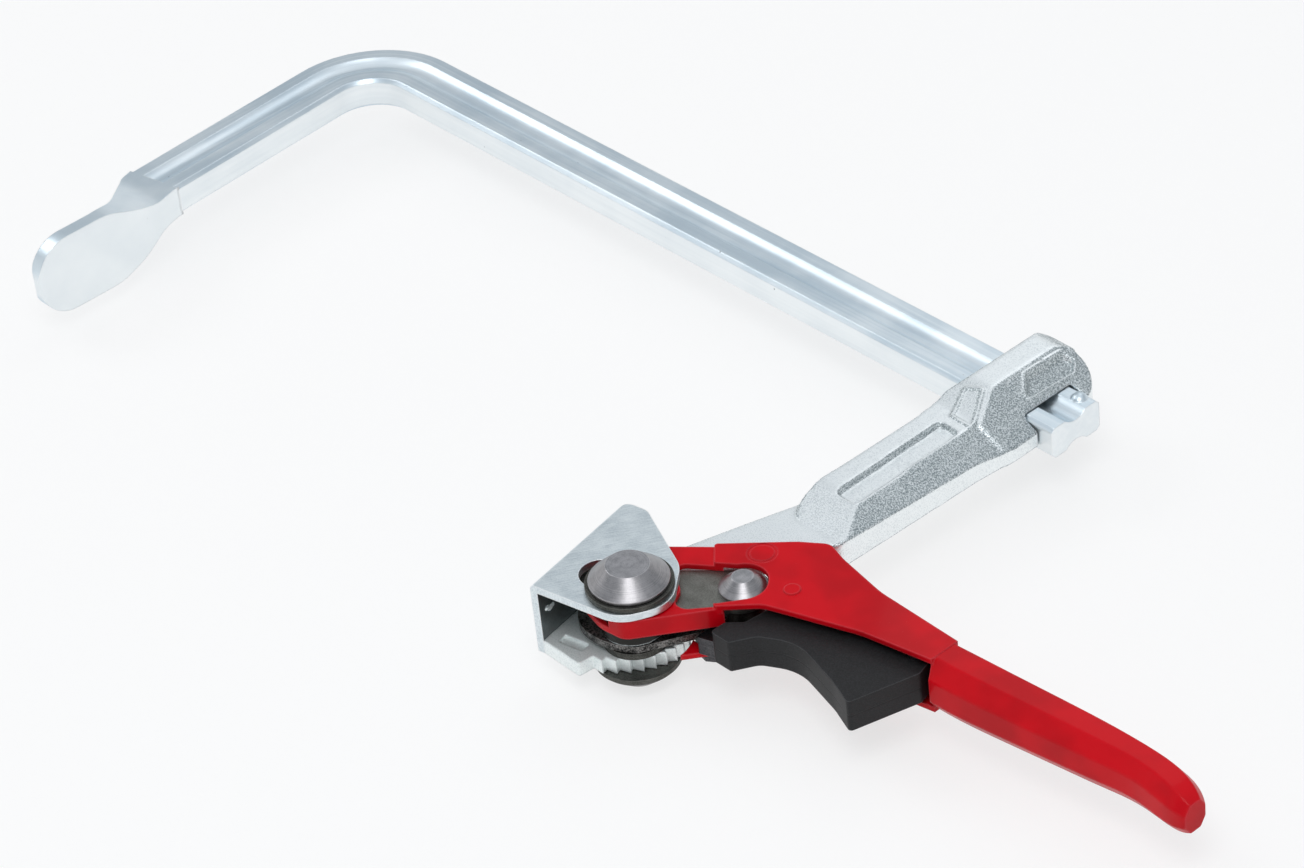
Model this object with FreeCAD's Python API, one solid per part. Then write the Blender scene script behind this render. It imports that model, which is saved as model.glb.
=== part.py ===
"""Lever clamp: a profiled rail with a forged fixed jaw, and a sliding arm whose cam lever drives a pressure plate.

Millimetres. The origin is the middle of the fixed jaw's clamping face, +X runs along the rail towards the
sliding arm, +Y from the jaws to the rail and +Z up, square to the rail's wide faces.
"""
import FreeCAD, Part
import math
import os

from FreeCAD import Vector

# Rail and fixed jaw
RAIL_WIDTH = 21.0
RAIL_THICKNESS = 11.0
RAIL_CHAMFER = 1.3
GROOVE_WIDTH = 9.0
GROOVE_DEPTH = 1.9
THROAT_DEPTH = 127.0
RAIL_LENGTH = 308.0
BEND_INNER_RADIUS = 14.6
JAW_LEAN = 3.4
JAW_STEM_LENGTH = 80.0
PADDLE_LENGTH = 53.0
PADDLE_HEIGHT = 28.0
PADDLE_THICKNESS = 5.0
END_STOP_RADIUS = 3.0
END_STOP_RISE = 1.6

# Places of the lever's rivets on the sliding arm, measured from the fixed jaw's face
OPENING = 247.0
ARM_SETBACK = 28.5
PIVOT_DROP = 12.0

# Sliding arm
ARM_HEAD_LENGTH = 30.0
ARM_HEAD_WALL = 6.5
ARM_EDGE_THICKNESS = 5.0
ARM_HEAD_SHOULDER = 10.5
RAIL_CLEARANCE = 0.35
ARM_WIDTH = 27.0
ARM_HEIGHT = 16.4
ARM_RECESS_DEPTH = 1.8
ARM_RECESS_WIDTH = 8.5
ARM_RECESS_LENGTH = 45.0
TONGUE_THICKNESS = 8.0
TONGUE_EYE_RADIUS = 9.8
TONGUE_WIDTH = 21.0

# Stack of plates on the main rivet
RIVET_RADIUS = 6.0
RUNNING_CLEARANCE = 0.05
PLATE_GAP = 0.2
CAM_PLATE_THICKNESS = 2.4
SHELL_THICKNESS = 1.8
SHEET_THICKNESS = 2.5
RATCHET_THICKNESS = 4.8
WASHER_THICKNESS = 1.5
WASHER_RADIUS = 13.2
MAIN_HEAD_RADIUS = 12.1
MAIN_HEAD_TOP_RADIUS = 6.6
MAIN_HEAD_HEIGHT = 5.0
HEAD_RIM = 1.0

# Cam and ratchet
CAM_ADVANCE = 8.0
CAM_REACH = 22.0
CAM_GAP = 1.3
LEVER_SWING = 75.0
PLATE_ANGLE = 10.6
RATCHET_RADIUS = 16.3
RATCHET_START = 33.5
TOOTH_COUNT = 9
TOOTH_PITCH = 10.6
TOOTH_DEPTH = 1.9
PAWL_GAP = 1.2
PAWL_LOW = 6.7
PAWL_TOP = 0.6

# Pressure plate
PLATE_WIDTH = 44.0
PLATE_SHARE_NEAR = 14.6
SLOT_CLEARANCE = 0.4
PLATE_NOSE_RADIUS = 13.6

# Lever shell and grip
LEVER_RIVET_RADIUS = 4.0
LEVER_HEAD_RADIUS = 7.4
LEVER_HEAD_TOP_RADIUS = 3.3
LEVER_HEAD_HEIGHT = 3.6
LIP_LOW = 2.0
LEVER_ARM = 32.7
LEVER_ARM_ANGLE = 48.7
CHEEK_JOGGLE = 1.3
GRIP_HEIGHT = 19.0
GRIP_TIP_HEIGHT = 14.0

# Trigger and pawl
TRIGGER_PIN_RADIUS = 2.0
TRIGGER_PIN_SEAT = 1.0
STOP_PIN_RADIUS = 2.5
TRIGGER_PULL = 2.5
TRIGGER_HEIGHT = 10.8
SPRING_WIRE = 0.9
SPRING_RADIUS = 3.6
SPRING_TURNS = 4

# Places worked out from the sizes above
RAIL_Y = THROAT_DEPTH + RAIL_WIDTH / 2
PIVOT_X = OPENING + ARM_SETBACK
PIVOT_Y = -PIVOT_DROP
PIVOT = Vector(PIVOT_X, PIVOT_Y, 0)
BEND_RADIUS = BEND_INNER_RADIUS + RAIL_WIDTH / 2
CAM_LOW = TONGUE_THICKNESS / 2 + PLATE_GAP
CAM_HIGH = CAM_LOW + CAM_PLATE_THICKNESS
SHELL_LOW = CAM_HIGH + PLATE_GAP / 2
SHELL_HIGH = SHELL_LOW + SHELL_THICKNESS
CHEEK_LOW = SHELL_LOW + CHEEK_JOGGLE
CHEEK_HIGH = SHELL_HIGH + CHEEK_JOGGLE
SHEET_LOW = SHELL_HIGH + 2 * PLATE_GAP
SHEET_HIGH = SHEET_LOW + SHEET_THICKNESS
RATCHET_BOTTOM = SHEET_LOW + RATCHET_THICKNESS
SLOT_LENGTH = CAM_ADVANCE * math.radians(LEVER_SWING) + SLOT_CLEARANCE
LEVER_RIVET = PIVOT + Vector(LEVER_ARM * math.cos(math.radians(LEVER_ARM_ANGLE)),
                             LEVER_ARM * math.sin(math.radians(LEVER_ARM_ANGLE)), 0)
STOP_PIN = PIVOT + Vector(35.8, 30.8, 0)
TRIGGER_PIN = PIVOT + Vector(79.5, 36.5, 0)


def polar(radius, degrees):
    """A point at a radius and angle about the origin."""
    return Vector(radius * math.cos(math.radians(degrees)), radius * math.sin(math.radians(degrees)), 0)


def outline(corners):
    """A closed wire through corners (x, y, radius), each rounded by its radius unless the line runs straight."""
    count = len(corners)
    spots = [Vector(x, y, 0) for x, y, _ in corners]
    edges = []
    ends = []
    for i, (_, _, radius) in enumerate(corners):
        here = spots[i]
        back = (spots[i - 1] - here).normalize()
        ahead = (spots[(i + 1) % count] - here).normalize()
        half = back.getAngle(ahead) / 2
        straight = math.pi / 2 - half < 1e-4
        if radius <= 0 or straight:
            ends.append((here, here))
            continue
        reach = radius / math.tan(half)
        middle = (back + ahead).normalize() * (radius / math.sin(half) - radius)
        ends.append((here + back * reach, here + ahead * reach))
        edges.append((i, Part.Arc(ends[i][0], here + middle, ends[i][1]).toShape()))
    arcs = dict(edges)
    parts = []
    for i in range(count):
        if i in arcs:
            parts.append(arcs[i])
        start = ends[i][1]
        finish = ends[(i + 1) % count][0]
        if start.distanceToPoint(finish) > 1e-6:
            parts.append(Part.makeLine(start, finish))
    return Part.Wire(parts)


def prism(corners, low, high):
    """A flat slab of a rounded outline between two heights."""
    face = Part.Face(outline(corners))
    face.translate(Vector(0, 0, low))
    return face.extrude(Vector(0, 0, high - low))


def about_pivot(corners):
    """Corners given from the main rivet, moved to their place."""
    return [(PIVOT_X + x, PIVOT_Y + y, radius) for x, y, radius in corners]


def disc(centre, radius, low, high):
    """An upright cylinder between two heights."""
    return Part.makeCylinder(radius, high - low, Vector(centre.x, centre.y, low))


def rivet_head(centre, radius, top_radius, height, seat):
    """A formed head: a short rim, a cone and a flat top, standing on its seat."""
    rim = disc(centre, radius, seat, seat + HEAD_RIM)
    cone = Part.makeCone(radius, top_radius, height, Vector(centre.x, centre.y, seat + HEAD_RIM))
    return rim.fuse(cone)


def plate_frame(shape):
    """Turns a piece drawn along the pressure plate's own axis, from the main rivet, into place."""
    shape.rotate(Vector(0, 0, 0), Vector(0, 0, 1), PLATE_ANGLE)
    shape.translate(PIVOT)
    return shape


def rail_section():
    """The rail's cross-section across X = 0: chamfered edges and a shallow groove in each wide face."""
    half = RAIL_WIDTH / 2
    deep = RAIL_THICKNESS / 2
    rim = half - RAIL_CHAMFER
    lip = GROOVE_WIDTH / 2
    floor = deep - GROOVE_DEPTH
    quarter = [(rim, deep), (half, deep - RAIL_CHAMFER)]
    run = [Vector(0, lip, deep)] + [Vector(0, y, z) for y, z in quarter]
    mirrored = [Vector(0, p.y, -p.z) for p in reversed(run)]
    right = run + mirrored
    left = [Vector(0, -p.y, -p.z) for p in right]
    edges = [Part.makeLine(a, b) for a, b in zip(right, right[1:])]
    edges.append(Part.Arc(right[-1], Vector(0, 0, -floor), left[0]).toShape())
    edges += [Part.makeLine(a, b) for a, b in zip(left, left[1:])]
    edges.append(Part.Arc(left[-1], Vector(0, 0, floor), right[0]).toShape())
    return Part.Face(Part.Wire(edges))


def make_paddle():
    """The forged end of the fixed jaw: the bar thins and spreads into an oval blade with a flat face."""
    thin = -PADDLE_THICKNESS
    stem_y = JAW_END.y
    outer_x = JAW_END.x - RAIL_WIDTH / 2
    inner_x = JAW_END.x + RAIL_WIDTH / 2
    tip_y = -PADDLE_LENGTH / 2
    side = [(outer_x, stem_y + 1, 0), (outer_x + 1.5, stem_y - 4, 6), (thin - 7, stem_y - 17, 10),
            (thin, stem_y - 24, 20), (thin, tip_y, 2.2), (0, tip_y, 1.8), (0, stem_y - 15, 30),
            (inner_x, stem_y + 4, 12), (inner_x, stem_y + 5, 0)]
    blade = prism(side, -PADDLE_HEIGHT, PADDLE_HEIGHT)
    half = PADDLE_HEIGHT / 2
    neck = RAIL_THICKNESS / 2
    face = [(stem_y + 6, -neck, 0), (stem_y - 4, -neck, 14), (stem_y - 26, -half, 22),
            (tip_y, -half, 12.5), (tip_y, half, 13.5), (stem_y - 27, half, 20),
            (stem_y - 5, neck, 16), (stem_y + 6, neck, 0)]
    front = prism(face, -60, 60)
    front.rotate(Vector(0, 0, 0), Vector(1, 1, 1), 120)
    return blade.common(front)


def make_rail():
    """Rail, bend, fixed jaw and its blade: one forged and plated bar."""
    section = rail_section()
    straight = section.copy()
    straight.translate(Vector(BEND_CENTRE.x, RAIL_Y, 0))
    bar = straight.extrude(Vector(RAIL_LENGTH, 0, 0))
    corner = straight.revolve(BEND_CENTRE, Vector(0, 0, 1), 90 + JAW_LEAN)
    stem = straight.copy()
    stem.rotate(BEND_CENTRE, Vector(0, 0, 1), 90 + JAW_LEAN)
    stem = stem.extrude(JAW_WAY * JAW_STEM_LENGTH)
    rail = bar.fuse([corner, stem, make_paddle()]).removeSplitter()
    end_x = BEND_CENTRE.x + RAIL_LENGTH
    lip = GROOVE_WIDTH / 2 + 1.2
    bump = Part.makeSphere(END_STOP_RADIUS, Vector(end_x - 5, RAIL_Y + lip + 1.5,
                                                   RAIL_THICKNESS / 2 + END_STOP_RISE - END_STOP_RADIUS))
    return rail.fuse(bump)


def arm_blank():
    """The forging's outline seen from above, from the head down to the tongue's root."""
    half = ARM_WIDTH / 2
    head = ARM_HEAD_LENGTH / 2
    top = RAIL_Y + RAIL_WIDTH / 2 + ARM_HEAD_SHOULDER
    low = RAIL_Y - RAIL_WIDTH / 2 - ARM_HEAD_SHOULDER
    middle = ARM_X
    return [(middle - head, top, 7), (middle + head - 1, top - 1, 11), (middle + head, low, 4),
            (middle + half - 1, low - 14, 12), (middle + half - 3, 56, 6), (middle + half - 3.5, 46.5, 4),
            (middle - half + 1, 46.5, 10), (middle - half - 0.5, 60, 20), (middle - half, low - 16, 20),
            (middle - head, low + 2, 8)]


def make_arm():
    """The sliding arm: a head that grips the rail, a stem with a recess in each face and a flat tongue."""
    head_half = RAIL_THICKNESS / 2 + ARM_HEAD_WALL
    body_half = ARM_HEIGHT / 2
    blank = prism(arm_blank(), -head_half, head_half)
    arm = blank.common(arm_side_profile(head_half, body_half))
    arm = arm.common(arm_cross_profile(head_half, body_half))
    arm = arm.fuse(make_tongue())
    for low, high in ((body_half - ARM_RECESS_DEPTH, head_half), (-head_half, ARM_RECESS_DEPTH - body_half)):
        arm = arm.cut(prism(recess_corners(), low, high))
    pocket = head_pocket()
    arm = arm.cut(pocket).cut(pocket.mirror(Vector(0, 0, 0), Vector(0, 0, 1)))
    arm = arm.cut(rail_passage())
    return arm.cut(disc(PIVOT, RIVET_RADIUS, -head_half, head_half)).removeSplitter()


def arm_side_profile(head_half, body_half):
    """The arm's heights seen from the side: thick at the head, even along the stem, ramped down to the tongue."""
    top = RAIL_Y + RAIL_WIDTH / 2 + ARM_HEAD_SHOULDER
    low = RAIL_Y - RAIL_WIDTH / 2 - ARM_HEAD_SHOULDER
    thin = TONGUE_THICKNESS / 2
    upper = [(top + 1, head_half - 2.5, 0), (top - 5, head_half, 8), (low + 9, head_half, 8),
             (low - 4, body_half, 10), (62, body_half, 12), (47, thin, 4), (40, thin, 0)]
    corners = upper + [(y, -z, radius) for y, z, radius in reversed(upper)]
    side = prism(corners, -200, 200)
    side.rotate(Vector(0, 0, 0), Vector(1, 1, 1), 120)
    side.translate(Vector(ARM_X, 0, 0))
    return side


def arm_cross_profile(head_half, body_half):
    """The arm's section across its length: flat faces that slope down to a thin edge on the outer side."""
    left = ARM_X - ARM_HEAD_LENGTH / 2 - 1
    ridge = ARM_X - ARM_HEAD_LENGTH / 2 + 12
    right = ARM_X + ARM_HEAD_LENGTH / 2
    edge = ARM_EDGE_THICKNESS / 2
    low = RAIL_Y - RAIL_WIDTH / 2 - ARM_HEAD_SHOULDER
    top = RAIL_Y + RAIL_WIDTH / 2 + ARM_HEAD_SHOULDER

    def slab(points, start, finish):
        """A flat section drawn out along Y."""
        upper = [Vector(x, start, z) for x, z in points]
        face = Part.Face(Part.makePolygon(upper + upper[:1]))
        return face.extrude(Vector(0, finish - start, 0))

    head = [(left, -head_half + 4), (left + 4, -head_half), (ridge, -head_half), (right, -edge),
            (right, edge), (ridge, head_half), (left + 4, head_half), (left, head_half - 4)]
    stem_ridge = ridge + 5.5
    stem_right = ARM_X + ARM_WIDTH / 2 + 2
    stem = [(left, -body_half), (stem_ridge, -body_half), (stem_right, -edge + 0.6), (stem_right, edge - 0.6),
            (stem_ridge, body_half), (left, body_half)]
    upper = slab(head, low - 4, top + 1)
    return upper.fuse(slab(stem, 20, low - 4))


def make_tongue():
    """The thin end of the arm, from under the stem to the eye for the main rivet."""
    high = TONGUE_THICKNESS / 2
    eye = disc(PIVOT, TONGUE_EYE_RADIUS, -high, high)
    left = PIVOT_X - TONGUE_EYE_RADIUS + 0.3
    corners = [(ARM_X - ARM_WIDTH / 2 + 1, 58, 0), (left + 6.5, 36, 25), (left, 14, 30), (left, PIVOT_Y, 0),
               (left + 2 * TONGUE_EYE_RADIUS - 0.6, PIVOT_Y, 0), (left + TONGUE_WIDTH - 3, 8, 20),
               (left + TONGUE_WIDTH, 30, 20), (ARM_X + ARM_WIDTH / 2 - 3.5, 48, 4),
               (ARM_X + ARM_WIDTH / 2 - 3.5, 58, 0)]
    return eye.fuse(prism(corners, -high, high))


def recess_corners():
    """The long shallow recess in each face of the arm's stem."""
    x = ARM_X - 1.5
    low = 61.0
    half = ARM_RECESS_WIDTH / 2
    return [(x - half, low, 2), (x + half, low, 2), (x + half - 1, low + ARM_RECESS_LENGTH, 2),
            (x - half - 1, low + ARM_RECESS_LENGTH, 2)]


def head_pocket():
    """The shallow pocket in the sloping face of the head, above the rail."""
    rise = math.atan2(RAIL_THICKNESS / 2 + ARM_HEAD_WALL - ARM_EDGE_THICKNESS / 2, ARM_HEAD_LENGTH - 12)
    ridge = Vector(ARM_X - ARM_HEAD_LENGTH / 2 + 12, RAIL_Y, RAIL_THICKNESS / 2 + ARM_HEAD_WALL)
    half = RAIL_WIDTH / 2 - 2.5
    pocket = prism([(1.5, -half, 2), (8.5, -half, 2), (8.5, half + 1, 2), (1.5, half + 1, 2)], -1.3, 6)
    pocket.rotate(Vector(0, 0, 0), Vector(0, 1, 0), math.degrees(rise))
    pocket.translate(ridge)
    return pocket


def rail_passage():
    """The rail's passage through the arm's head, a little larger than the rail all round."""
    half = RAIL_WIDTH / 2 + RAIL_CLEARANCE
    deep = RAIL_THICKNESS / 2 + RAIL_CLEARANCE
    chamfer = RAIL_CHAMFER * 0.8
    corners = [(half, deep - chamfer), (half - chamfer, deep), (chamfer - half, deep), (-half, deep - chamfer)]
    ring = corners + [(-y, -z) for y, z in corners]
    points = [Vector(ARM_X - 40, RAIL_Y + y, z) for y, z in ring]
    face = Part.Face(Part.makePolygon(points + points[:1]))
    return face.extrude(Vector(80, 0, 0))


def make_main_rivet():
    """The big rivet, fixed in the arm's tongue, with a formed head above and below the plates."""
    top = SHEET_HIGH + WASHER_THICKNESS + 2 * PLATE_GAP
    low = RATCHET_BOTTOM + WASHER_THICKNESS + 2 * PLATE_GAP
    shank = disc(PIVOT, RIVET_RADIUS, -low, top)
    upper = rivet_head(PIVOT, MAIN_HEAD_RADIUS, MAIN_HEAD_TOP_RADIUS, MAIN_HEAD_HEIGHT, top)
    lower = rivet_head(PIVOT, MAIN_HEAD_RADIUS, MAIN_HEAD_TOP_RADIUS, MAIN_HEAD_HEIGHT, low)
    lower = lower.mirror(Vector(0, 0, 0), Vector(0, 0, 1))
    return shank.fuse([upper, lower]).removeSplitter()


def make_washer(low):
    """A round washer between the pressure plate and a head of the main rivet."""
    ring = disc(PIVOT, WASHER_RADIUS, low, low + WASHER_THICKNESS)
    return ring.cut(disc(PIVOT, RIVET_RADIUS + RUNNING_CLEARANCE, low, low + WASHER_THICKNESS))


def slot_cutter(low, high):
    """The slot along which the pressure plate rides on the main rivet."""
    half = RIVET_RADIUS + SLOT_CLEARANCE
    start = Part.makeCylinder(half, high - low, Vector(0, 0, low))
    end = Part.makeCylinder(half, high - low, Vector(-SLOT_LENGTH, 0, low))
    middle = Part.makeBox(SLOT_LENGTH, 2 * half, high - low, Vector(-SLOT_LENGTH, -half, low))
    return start.fuse([end, middle])


def ratchet_point(index, depth):
    """A point on the path that the pawl's tip takes over the plate, some depth inside it."""
    turn = math.radians(index * TOOTH_PITCH)
    spot = polar(RATCHET_RADIUS - depth, RATCHET_START - index * TOOTH_PITCH)
    return Vector(spot.x - CAM_ADVANCE * turn, spot.y, 0)


def ratchet_corners():
    """The toothed edge: steep flanks that stop the lever from opening and long flanks that it climbs."""
    steep = 0.3
    corners = []
    for tooth in range(TOOTH_COUNT):
        corners.append(ratchet_point(tooth, TOOTH_DEPTH))
        corners.append(ratchet_point(tooth + steep, 0))
    corners.append(ratchet_point(TOOTH_COUNT, TOOTH_DEPTH))
    return [(p.x, p.y, 0) for p in corners]


def ratchet_plate_corners():
    """The toothed plate's outline, from the web round the teeth to its tail."""
    near = -PLATE_SHARE_NEAR
    far = PLATE_WIDTH - PLATE_SHARE_NEAR
    last = ratchet_point(TOOTH_COUNT, TOOTH_DEPTH)
    tail = [(last.x - 1.5, near - 3.2, 0.8), (-CAM_REACH - CAM_GAP, near, 0)]
    start = [(-CAM_REACH - CAM_GAP, far - 1, 0), (-CAM_REACH - CAM_GAP + 8, far - 1.5, 4), (8, 15.5, 8)]
    return start + ratchet_corners() + tail


def upper_sheet_corners():
    """The upper sheet: a long bent edge tapering to a round nose about the main rivet."""
    near = -PLATE_SHARE_NEAR
    far = PLATE_WIDTH - PLATE_SHARE_NEAR
    face = -(CAM_REACH + CAM_GAP + SHEET_THICKNESS)
    nose = PLATE_NOSE_RADIUS
    return [(face, near, 0), (face, far + 1.5, 4), (face + 9, far + 1.5, 5), (7.5, nose + 1, nose - 1),
            (nose + 2.5, -1, nose - 3), (6, -nose - 0.5, nose - 2)]


def make_pressure_plate():
    """The folded steel plate: an upper sheet and the web that bears on the work."""
    face = -(CAM_REACH + CAM_GAP + SHEET_THICKNESS)
    near = -PLATE_SHARE_NEAR
    upper = prism(upper_sheet_corners(), SHEET_LOW, SHEET_HIGH)
    height = SHEET_HIGH + RATCHET_BOTTOM
    web = Part.makeBox(SHEET_THICKNESS, PLATE_WIDTH - 1.5, height, Vector(face, near, -RATCHET_BOTTOM))
    plate = upper.fuse(web)
    plate = plate.cut(slot_cutter(SHEET_LOW, SHEET_HIGH)).removeSplitter()
    folds = [edge for edge in plate.Edges if is_fold(edge, face)]
    return plate_frame(plate.makeFillet(SHEET_THICKNESS * 0.7, folds))


def is_fold(edge, face):
    """True for the long outer edge where the sheet is bent."""
    box = edge.BoundBox
    outside = abs(box.XMin - face) < 1e-4 and abs(box.XMax - face) < 1e-4
    level = abs(box.ZMin - SHEET_HIGH) < 1e-4 and box.ZLength < 1e-4
    return outside and level and box.YLength > PLATE_WIDTH / 2


def make_ratchet_plate():
    """The thick toothed plate, welded by its edge to the web; a small recess shows where it is set in."""
    low = -RATCHET_BOTTOM
    high = low + RATCHET_THICKNESS
    plate = prism(ratchet_plate_corners(), low, high).cut(slot_cutter(low, high))
    recess = prism([(-19.5, -12.5, 0.6), (-10.5, -12.5, 0.6), (-10.5, -9, 0.6), (-19.5, -9, 0.6)], high - 1, high + 1)
    return plate_frame(plate.cut(recess))


def cam_edge():
    """The cam's working edge: it draws back evenly with the lever's turn, so its line is an involute."""
    steps = 8
    points = []
    for step in range(steps + 1):
        turn = math.radians(LEVER_SWING) * step / steps
        angle = math.radians(180 + PLATE_ANGLE) + turn
        reach = CAM_REACH - CAM_ADVANCE * turn
        out = Vector(math.cos(angle), math.sin(angle), 0)
        along = Vector(-math.sin(angle), math.cos(angle), 0)
        points.append(PIVOT + out * reach - along * CAM_ADVANCE)
    curve = Part.BSplineCurve()
    curve.interpolate(points)
    return curve.toShape(), points


def make_cam_plate(low, near_edge):
    """One of the two hardened cam plates: cam nose, eye for the main rivet and tail for the lever rivet."""
    edge, points = cam_edge()
    tail_end = LEVER_RIVET + polar(8.0, LEVER_ARM_ANGLE)
    tail_far = LEVER_RIVET + polar(8.6, 118)
    far = PIVOT + polar(13, 118)
    crown = PIVOT + polar(22.0, 166)
    around = PIVOT + polar(TONGUE_EYE_RADIUS, -88)
    route = [PIVOT + Vector(x, y, 0) for x, y in near_edge]
    edges = [edge, Part.Arc(points[-1], around, route[0]).toShape()]
    edges += [Part.makeLine(a, b) for a, b in zip(route, route[1:])]
    edges += [Part.Arc(route[-1], tail_end, tail_far).toShape(), Part.makeLine(tail_far, far),
              Part.makeLine(far, crown), Part.makeLine(crown, points[0])]
    plate = Part.Face(Part.Wire(edges)).extrude(Vector(0, 0, CAM_PLATE_THICKNESS))
    plate.translate(Vector(0, 0, low))
    high = low + CAM_PLATE_THICKNESS
    plate = plate.cut(disc(PIVOT, RIVET_RADIUS + RUNNING_CLEARANCE, low, high))
    return plate.cut(disc(LEVER_RIVET, LEVER_RIVET_RADIUS, low, high))


def make_upper_cam_plate():
    """The wider cam plate, which fills the shell's window."""
    return make_cam_plate(CAM_LOW, [(7.8, -7.6), (25.0, 16.2)])


def make_lower_cam_plate():
    """The narrower cam plate, which leaves room for the pawl."""
    return make_cam_plate(-CAM_HIGH, [(7.6, -5.9), (14.5, 7.5), (19.0, 15.5), (26.0, 20.9)])


def make_collar():
    """The distance collar on the main rivet, between the lower cam plate and the toothed plate."""
    low = -SHEET_LOW + PLATE_GAP / 2
    high = -CAM_HIGH - PLATE_GAP / 2
    return disc(PIVOT, TONGUE_EYE_RADIUS, low, high).cut(disc(PIVOT, RIVET_RADIUS, low, high))


def make_lever_rivet():
    """The small rivet that ties the cam plates to the lever, with a head above and below."""
    shank = disc(LEVER_RIVET, LEVER_RIVET_RADIUS, -CAM_HIGH, CAM_HIGH)
    upper = rivet_head(LEVER_RIVET, LEVER_HEAD_RADIUS, LEVER_HEAD_TOP_RADIUS, LEVER_HEAD_HEIGHT, CAM_HIGH)
    lower = upper.mirror(Vector(0, 0, 0), Vector(0, 0, 1))
    return shank.fuse([upper, lower]).removeSplitter()


def make_spacer():
    """The distance sleeve on the lever rivet, between the two cam plates."""
    sleeve = disc(LEVER_RIVET, LEVER_RIVET_RADIUS + 1.6, -CAM_LOW, CAM_LOW)
    return sleeve.cut(disc(LEVER_RIVET, LEVER_RIVET_RADIUS, -CAM_LOW, CAM_LOW))


def cheek_corners():
    """The shell's broad part seen from above, from the joggle back to the grip."""
    return about_pivot([(3, 30.8, 1), (21, 47.5, 6), (29, 53, 4), (37, 50.5, 10), (56, 46.8, 30), (88, 45.5, 0),
                        (88, 34.8, 0), (64, 30.6, 30), (44, 24, 20), (34, 20.6, 8), (23.8, 10.6, 1)])


def prong_corners():
    """The shell's front, set down by the joggle so that it passes under the pressure plate."""
    return about_pivot([(-10.5, 19.5, 3), (4, 31.7, 1), (6, 31.4, 0), (25.6, 13, 0), (25, 12, 0.5), (8.2, -11.0, 5),
                        (-1, -12.0, 14), (-13.2, -8.8, 4), (-12.8, 6, 6)])


def window_corners():
    """The window in the shell through which the upper cam plate shows."""
    return about_pivot([(-1, 17.5, 3), (16.6, 29.6, 2), (26, 32.5, 7.4), (31.5, 23, 7.4), (24.3, 12.9, 4),
                        (14.4, 1.8, 4), (10, 10.5, 3)])


def near_wall():
    """The lip folded down from the shell's near edge; a low strip of it runs on round the cam plate."""
    room = disc(PIVOT, TONGUE_EYE_RADIUS + 0.3, 0, SHELL_HIGH)
    rim = prism(prong_corners(), LIP_LOW, SHELL_HIGH)
    inset = rim.copy()
    inset.translate(Vector(-1.48, 1.02, 0))
    wall = rim.cut(inset).cut(room)
    behind = prism(about_pivot([(2.6, -8, 0), (2.6, -20, 0), (40, -20, 0), (40, 12.6, 0), (24, 13.6, 0)]), 0, 20)
    under = about_pivot([(2.6, -10.9, 0), (2.6, -20, 0), (-30, -20, 0), (-30, -2.1, 0)])
    strip = rim.common(prism(under, 0, CAM_LOW - PLATE_GAP)).cut(room)
    return wall.common(behind).fuse(strip)


def grip_section(x, y, width, height):
    """A cross-section of the grip: a narrow flat crown, long bevels and rounded flanks."""
    half = width / 2
    deep = height / 2
    crown = half * 0.5
    flank = deep * 0.42
    ring = [(half, flank, 1.5), (crown, deep, 0.8), (-crown, deep, 0.8), (-half, flank, 1.5),
            (-half, -flank, 1.5), (-crown, -deep, 0.8), (crown, -deep, 0.8), (half, -flank, 1.5)]
    wire = outline([(across, up, radius) for across, up, radius in ring])
    wire.rotate(Vector(0, 0, 0), Vector(1, 1, 1), 120)
    wire.translate(Vector(PIVOT_X + x, PIVOT_Y + y, 0))
    return wire


def make_grip():
    """The closed grip: it narrows along its length and its end curves towards the jaws' side."""
    stations = [(86, 40.3, 15.5, GRIP_HEIGHT), (104, 41.3, 16, GRIP_HEIGHT), (128, 43.5, 15, GRIP_HEIGHT - 1),
                (148, 45.2, 13.5, GRIP_HEIGHT - 2), (164, 45.4, 12.6, GRIP_HEIGHT - 3),
                (174, 43.8, 12, GRIP_TIP_HEIGHT), (179.5, 42.6, 8, GRIP_TIP_HEIGHT * 0.7)]
    wires = [grip_section(x, y, width, height) for x, y, width, height in stations]
    return Part.makeLoft(wires, True, False)


def make_shell():
    """The lever's pressed steel shell and grip, painted as one piece."""
    cheeks = prism(cheek_corners(), -CHEEK_HIGH, CHEEK_HIGH)
    prongs = prism(prong_corners(), -SHELL_HIGH, SHELL_HIGH)
    body = cheeks.fuse([prongs, make_grip()])
    body = body.cut(prism(pocket_corners(), -CHEEK_LOW, CHEEK_LOW))
    body = body.cut(prism(prong_pocket_corners(), -SHELL_LOW, SHELL_LOW))
    body = body.cut(disc(PIVOT, RATCHET_RADIUS + PAWL_GAP, -SHELL_HIGH - 1, 0))
    body = body.cut(prism(about_pivot([(-40, -40, 0), (16, -40, 0), (10, 30, 0), (-2, 60, 0), (-40, 60, 0)]),
                          -SHELL_HIGH - 1, 0))
    body = body.fuse(near_wall())
    body = body.cut(prism(window_corners(), 0, CHEEK_HIGH + 1))
    body = body.cut(disc(PIVOT, RIVET_RADIUS + RUNNING_CLEARANCE, -SHELL_HIGH, SHELL_HIGH))
    body = body.cut(disc(LEVER_RIVET, LEVER_HEAD_RADIUS + 0.2, -CHEEK_HIGH - 1, -SHELL_LOW + 0.2))
    body = body.cut(disc(LEVER_RIVET, LEVER_HEAD_RADIUS + 0.2, SHELL_LOW - 0.2, CHEEK_HIGH + 1))
    body = body.cut(prism(pawl_window(), -CHEEK_HIGH - 1, -SHELL_LOW + 0.1))
    body = body.cut(pin_shape(STOP_PIN, STOP_PIN_RADIUS, CHEEK_HIGH + 1)).cut(make_trigger_pin())
    return body.cut(stamped_ring()).removeSplitter()


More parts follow.
